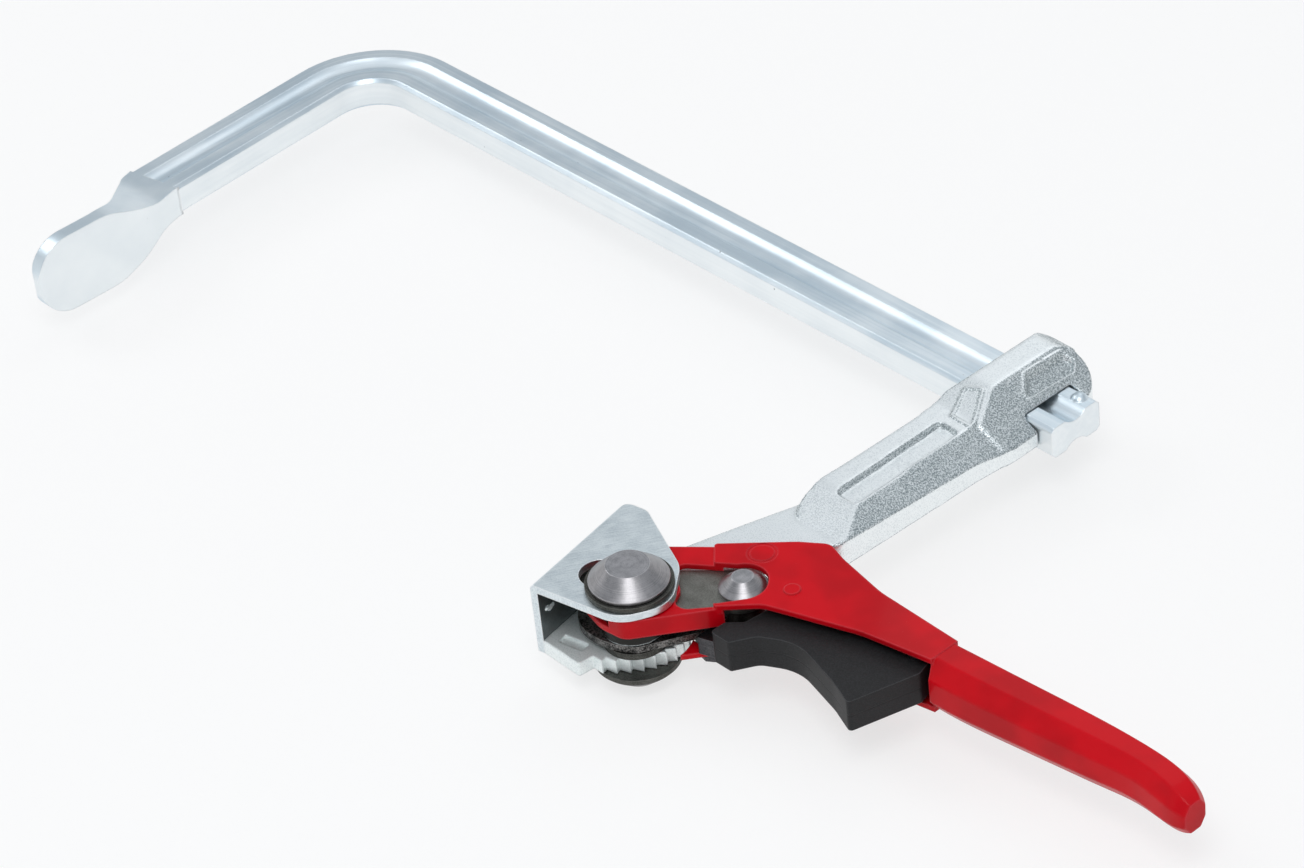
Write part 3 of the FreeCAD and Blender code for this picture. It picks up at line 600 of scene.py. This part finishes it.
@dataclass
class CadNodes:
    """The CAD nodes that keep their own shape and get a finish each."""

    finishes: Finishes

    def dress(self) -> None:
        """Gives each node its finish."""
        table = {
            "rail_with_fixed_jaw": "rail_plating",
            "sliding_arm": "arm_plating",
            "main_rivet": "main_rivet_steel",
            # The washers, collar and spacer are dressed dark as painted shade.
            "upper_washer": "shade_dark_steel",
            "rivet_collar": "shade_dark_steel",
            "lower_washer": "shade_dark_steel",
            "pressure_plate": "plate_plating",
            "ratchet_plate": "ratchet_plating",
            "upper_cam_plate": "cam_steel",
            # The lower cam plate's dark specks are painted shade.
            "lower_cam_plate": "shade_speckled_steel",
            "lever_rivet": "lever_rivet_steel",
            "cam_spacer": "shade_dark_steel",
            "lever_shell": "red_enamel",
            "stop_pin": "red_enamel",
            "trigger_pin": "blackened_steel",
            "trigger": "trigger_plastic",
            "pawl": "blackened_steel",
            "trigger_spring": "blackened_steel",
        }
        for node, finish in table.items():
            self.finishes.dress(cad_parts[node], finish)
            log.info("dressed %s with %s", node, finish)


@dataclass(frozen=True)
class Patch:
    """A rounded patch of a face seen from above, given by its corners in millimetres."""

    corners: tuple[tuple[float, float], ...]
    rounding: float

    def distance(self, x: float, y: float) -> float:
        """How far a point is from the patch's rim.

        Args:
            x: Place along the rail in millimetres.
            y: Place across it in millimetres.

        Returns:
            Millimetres, below zero inside the rim.
        """
        spot = Vector((x, y))
        outside = False
        nearest = 1e9
        ends = [Vector(corner) for corner in self.corners]
        for start, end in zip(ends, ends[1:] + ends[:1]):
            side = end - start
            share = max(0.0, min(1.0, (spot - start).dot(side) / side.length_squared))
            nearest = min(nearest, (spot - start - side * share).length)
            outside = outside or side.x * (spot.y - start.y) - side.y * (spot.x - start.x) < 0
        return (nearest if outside else -nearest) - self.rounding


def eased(low: float, high: float, value: float) -> float:
    """A smooth step from 0 at low to 1 at high."""
    share = max(0.0, min(1.0, (value - low) / (high - low)))
    return share * share * (3.0 - 2.0 * share)


@dataclass
class ForgedArm:
    """The sliding arm as forged, with soft edges, the head's pocket and a plate left bare; lengths in millimetres."""

    finishes: Finishes
    voxel: float = 0.45
    ridge_x: float = 289.0
    head_height: float = 12.0
    fall: float = 0.5278
    slope_x: tuple[float, float] = (289.6, 300.0)
    slope_y: tuple[float, float] = (128.0, 155.5)
    facing: float = 0.3
    lowest: float = 5.0
    pocket_depth: float = 2.0
    pocket_rim: float = 0.35
    plate_height: float = 0.5
    pocket: Patch = Patch(((292.4, 138.4), (296.5, 134.0), (297.2, 151.2), (295.2, 153.6), (292.8, 152.6)), 1.0)
    plate: Patch = Patch(((282.9, 120.6), (287.0, 110.9), (294.2, 110.6), (287.2, 122.4)), 0.7)

    def softened(self) -> bpy.types.Mesh:
        """The CAD arm as an even mesh with softly rounded edges."""
        shape = bmesh.new()
        shape.from_mesh(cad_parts["sliding_arm"].data)
        bmesh.ops.remove_doubles(shape, verts=shape.verts, dist=1e-6)
        mesh = bpy.data.meshes.new("arm_blank")
        shape.to_mesh(mesh)
        shape.free()
        blank = bpy.data.objects.new("arm_blank", mesh)
        bpy.context.scene.collection.objects.link(blank)
        even = blank.modifiers.new("even", "REMESH")
        even.mode = "VOXEL"
        even.voxel_size = self.voxel * MM
        even.use_smooth_shade = True
        soft = blank.modifiers.new("soft", "SMOOTH")
        soft.factor = 0.5
        soft.iterations = 5
        scene_state = bpy.context.evaluated_depsgraph_get()
        made = bpy.data.meshes.new_from_object(blank.evaluated_get(scene_state))
        bpy.data.objects.remove(blank)
        return made

    def raised(self, spot: Vector, normal: Vector) -> Vector:
        """Where one point of the skin goes.

        Args:
            spot: The point in metres.
            normal: Its normal.

        Returns:
            The new place in metres.
        """
        x, y, z = spot / MM
        side = 1.0 if z > 0 else -1.0
        high = abs(z)
        if normal.z * side > self.facing and high > self.lowest:
            if self.slope_x[0] < x < self.slope_x[1] and self.slope_y[0] < y < self.slope_y[1]:
                face = self.head_height - (x - self.ridge_x) * self.fall
                rim = self.pocket.distance(x, y)
                high = face - self.pocket_depth * eased(0.3, -0.9, rim) + self.pocket_rim * eased(1.5, 0.7, rim)
            if side > 0:
                rim = self.plate.distance(x, y)
                high += self.plate_height * eased(0.85, 0.3, abs(rim)) + 0.12 * eased(0.0, -0.6, rim)
        return Vector((x, y, high * side)) * MM

    def build(self) -> None:
        """Builds the arm in place of its CAD node."""
        shape = bmesh.new()
        shape.from_mesh(self.softened())
        bmesh.ops.smooth_vert(shape, verts=shape.verts, factor=0.4, use_axis_x=True, use_axis_y=True, use_axis_z=True)
        shape.normal_update()
        for vert, place in [(vert, self.raised(vert.co, vert.normal)) for vert in shape.verts]:
            vert.co = place
        thing = PartPiece("forged_arm", Body.ARM, "arm_zinc").placed(shape)
        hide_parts("sliding_arm")
        self.finishes.dress(thing, "arm_plating")
        log.info("built %s with %d faces", thing.name, len(thing.data.polygons))


@dataclass
class WeldSpot:
    """The small bright weld on the inside of the pressure plate's web."""

    finishes: Finishes
    middle: Vector = Vector((0.25445, -0.02618, 0.00063))
    turn: float = math.radians(10.6)

    def build(self) -> None:
        """Sets three small beads in a short curve against the web."""
        shape = bmesh.new()
        for along, up in ((-1.0, 0.5), (0.1, -0.3), (1.1, 0.1)):
            bead = bmesh.ops.create_icosphere(shape, subdivisions=3, radius=1.1 * MM)
            bmesh.ops.scale(shape, vec=(0.45, 1.0, 0.8), verts=bead["verts"])
            bmesh.ops.translate(shape, vec=(0.0, along * MM, up * MM), verts=bead["verts"])
        bmesh.ops.rotate(shape, cent=(0, 0, 0), matrix=Matrix.Rotation(self.turn, 3, "Z"), verts=shape.verts)
        bmesh.ops.translate(shape, vec=self.middle, verts=shape.verts)
        thing = PartPiece("web_weld", Body.PLATE, "plate_zinc").placed(shape)
        self.finishes.dress(thing, "ratchet_plating")
        log.info("built %s", thing.name)


@dataclass
class Studio:
    """Floor, light and camera."""

    floor_radius: float = 5.0
    backdrop: tuple[tuple[float, float], ...] = ((5.25, 0.06), (5.45, 0.24), (5.6, 0.6), (5.7, 2.4))
    white_share: float = 0.7
    sky_tones: tuple[tuple[float, Colour], ...] = ((0.0, (0.42, 0.45, 0.48)), (0.5, (0.40, 0.43, 0.46)),
                                                   (0.8, (0.62, 0.65, 0.68)), (1.0, (0.85, 0.87, 0.9)))

    def floor(self) -> None:
        """Lays the pale floor, with its far rim turned up all round as a low backdrop."""
        shape = bmesh.new()
        bmesh.ops.create_circle(shape, cap_ends=True, segments=96, radius=self.floor_radius)
        rim = list(shape.edges)
        for outward, lift in self.backdrop:
            grown = bmesh.ops.extrude_edge_only(shape, edges=rim)
            verts = [item for item in grown["geom"] if isinstance(item, bmesh.types.BMVert)]
            rim = [item for item in grown["geom"] if isinstance(item, bmesh.types.BMEdge)]
            for vert in verts:
                vert.co = Vector((vert.co.x, vert.co.y, 0.0)).normalized() * outward + Vector((0.0, 0.0, lift))
            rim = [edge for edge in rim if all(vert in verts for vert in edge.verts)]
        bmesh.ops.translate(shape, vec=(0.2, 0.05, FLOOR_HEIGHT), verts=shape.verts)
        bmesh.ops.recalc_face_normals(shape, faces=shape.faces)
        mesh = bpy.data.meshes.new("floor")
        shape.to_mesh(mesh)
        shape.free()
        thing = bpy.data.objects.new("floor", mesh)
        bpy.context.scene.collection.objects.link(thing)
        b = Bench.for_material("pale_floor")
        rays = b.node("ShaderNodeLightPath", {}, {})
        seen = Socket(b, rays.outputs["Is Camera Ray"]) + Socket(b, rays.outputs["Is Glossy Ray"])
        seen = (seen + Socket(b, rays.outputs["Is Transmission Ray"])).clamped()
        matte = b.node("ShaderNodeBsdfDiffuse", {}, {"Color": (0.93, 0.93, 0.93, 1.0)})
        white = b.node("ShaderNodeEmission", {}, {"Color": (1.0, 1.0, 1.0, 1.0), "Strength": 1.0})
        both = b.node("ShaderNodeMixShader", {}, {0: seen * self.white_share, 1: matte.outputs[0],
                                                  2: white.outputs[0]})
        b.node("ShaderNodeOutputMaterial", {}, {0: both.outputs[0]})
        thing.data.materials.append(b.owner)

    def world(self) -> None:
        """A soft room: bright above and greyer towards the horizon."""
        room = bpy.data.worlds.new("room")
        bpy.context.scene.world = room
        b = Bench(room)
        split = b.node("ShaderNodeSeparateXYZ", {}, {0: b.coordinates.outputs["Generated"]})
        sky = b.node("ShaderNodeBackground", {}, {0: b.ramp(split.outputs[2], self.sky_tones)})
        b.node("ShaderNodeOutputWorld", {}, {0: sky.outputs[0]})

    def softbox(self, name: str, place: Vector, aim: Vector, size: tuple[float, float], level: float) -> None:
        """Hangs one soft lamp.

        Args:
            name: The lamp's name.
            place: Its middle.
            aim: The point it faces.
            size: Its two sides in metres.
            level: How bright its face is, where 1 is white.
        """
        lamp = bpy.data.lights.new(name, "AREA")
        lamp.shape = "RECTANGLE"
        lamp.size, lamp.size_y = size
        lamp.energy = level * math.pi * size[0] * size[1]
        thing = bpy.data.objects.new(name, lamp)
        thing.location = place
        thing.rotation_mode = "QUATERNION"
        thing.rotation_quaternion = (aim - place).to_track_quat("-Z", "Y")
        bpy.context.scene.collection.objects.link(thing)

    def lamps(self) -> None:
        """Hangs the soft lamps."""
        aim = Vector((0.22, 0.03, 0.0))
        self.softbox("back_softbox", Vector((-0.08, 0.72, 0.72)), aim, (0.5, 0.5), 0.75)
        self.softbox("front_softbox", Vector((0.72, -0.42, 1.15)), aim, (0.6, 0.6), 4.2)
        self.softbox("left_softbox", Vector((-0.85, -0.3, 0.95)), aim, (0.6, 0.6), 2.4)

    def camera(self) -> None:
        """Sets the camera at the photograph's place and angle."""
        data = bpy.data.cameras.new("camera")
        data.sensor_width = 36.0
        data.lens = 118.1
        data.clip_end = 50.0
        thing = bpy.data.objects.new("camera", data)
        right = Vector((0.6745, 0.7326, -0.0916))
        upward = Vector((-0.3898, 0.4586, 0.7986))
        back = Vector((0.627, -0.5029, 0.5949))
        turn = Matrix((right, upward, back)).transposed().to_4x4()
        thing.matrix_world = Matrix.Translation((1.0405, -0.6110, 0.78365)) @ turn
        bpy.context.scene.collection.objects.link(thing)
        bpy.context.scene.camera = thing

    def build(self) -> None:
        """Sets up floor, light, camera and the plain colour transform."""
        self.floor()
        self.world()
        self.lamps()
        self.camera()
        bpy.context.scene.view_settings.view_transform = "Standard"


def main() -> None:
    """Builds the classes in order."""
    logging.basicConfig(level=logging.INFO, format="%(name)s: %(message)s")
    finishes = Finishes()
    CadNodes(finishes).dress()
    ForgedArm(finishes).build()
    WeldSpot(finishes).build()
    Studio().build()


if __name__ == "__main__":
    main()
